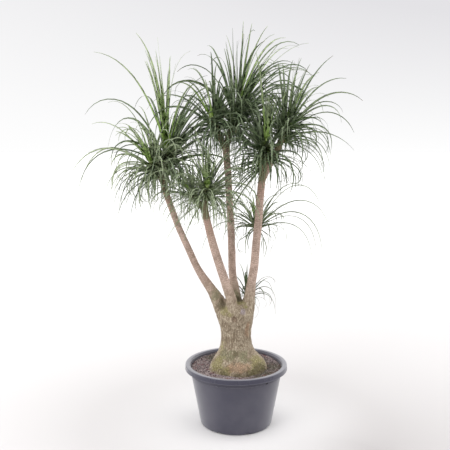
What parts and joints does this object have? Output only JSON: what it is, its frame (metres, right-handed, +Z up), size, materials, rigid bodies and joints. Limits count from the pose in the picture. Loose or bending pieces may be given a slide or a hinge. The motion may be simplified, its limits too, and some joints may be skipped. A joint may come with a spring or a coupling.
{
  "type": "potted ponytail palm",
  "caption": "Branched ponytail palm with a swollen trunk base and heads of long arching leaves, standing in soil in a tapered plastic pot.",
  "frame": {"origin": "centre of the pot's flat underside, on the surface it stands on", "axes": "+Z up, -Y towards the front of the plant, +X to the right seen from the front"},
  "size_m": [1.4215, 0.9174, 1.9578],
  "materials": {
    "pot_plastic": "moulded dark grey nursery plastic, satin",
    "potting_mix": "loose purplish-brown bark and peat granules",
    "bark": "dry pinkish-beige bark, cracked and mossy at the base, ringed on the stems",
    "mature_leaf": "tough dark green strap leaf, low sheen",
    "young_leaf": "fresh light green strap leaf, low sheen"
  },
  "bodies": {
    "root": {"pot": "pot_plastic", "soil": "potting_mix", "trunk": "bark", "crown_left_top": "mature_leaf", "heart_left_top": "young_leaf", "crown_left_side": "mature_leaf", "heart_left_side": "young_leaf", "crown_front_top": "mature_leaf", "heart_front_top": "young_leaf", "crown_front_side": "mature_leaf", "heart_front_side": "young_leaf", "crown_centre_top": "mature_leaf", "heart_centre_top": "young_leaf", "crown_centre_side": "mature_leaf", "heart_centre_side": "young_leaf", "crown_right_top": "mature_leaf", "heart_right_top": "young_leaf", "crown_right_side": "mature_leaf", "heart_right_side": "young_leaf", "crown_back_low": "mature_leaf", "heart_back_low": "young_leaf", "crown_sprout": "mature_leaf"}
  },
  "joints": []
}
